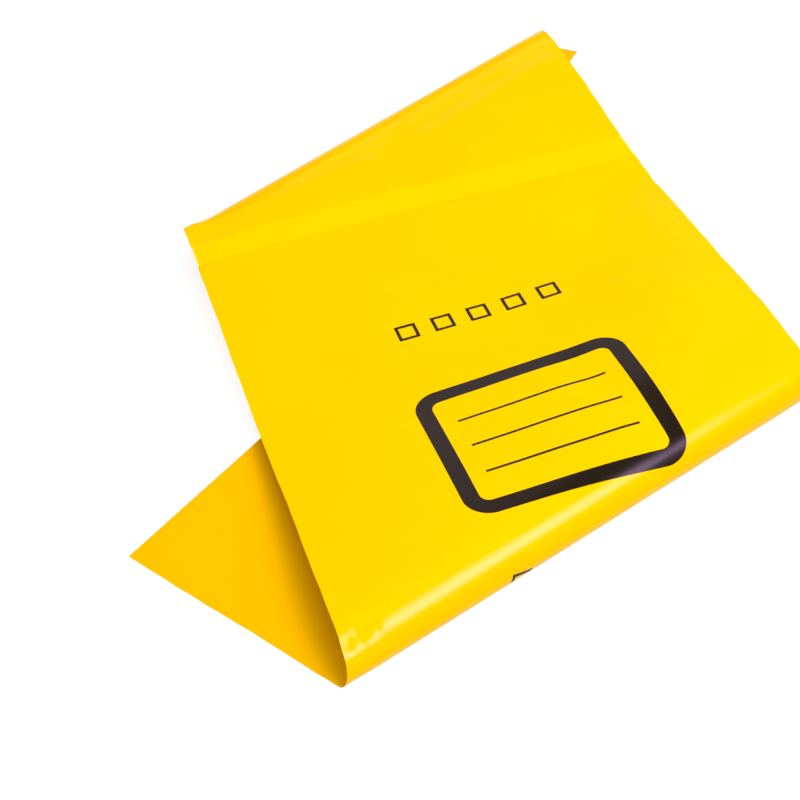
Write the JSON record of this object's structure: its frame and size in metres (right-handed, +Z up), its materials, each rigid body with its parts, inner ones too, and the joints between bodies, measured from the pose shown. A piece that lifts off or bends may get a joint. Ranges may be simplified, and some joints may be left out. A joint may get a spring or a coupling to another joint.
{
  "type": "biohazard waste bag",
  "caption": "Flat empty clinical waste bag of glossy yellow film, rolled over near each end, with a closure strip bonded across it below the mouth.",
  "frame": {"origin": "on the surface that the bag lies on, under the middle of its outline", "axes": "+X along the front roll to the right, +Y from the front roll to the back of the bag, +Z up"},
  "size_m": [0.51, 0.4208, 0.0249],
  "materials": {
    "yellow_film": "glossy, slightly translucent yellow film with black ink print",
    "pale_strip": "smooth strip of the film's own yellow, with a cream cut end"
  },
  "bodies": {
    "root": {"bag_film": "yellow_film", "closure_strip": "pale_strip"}
  },
  "joints": []
}
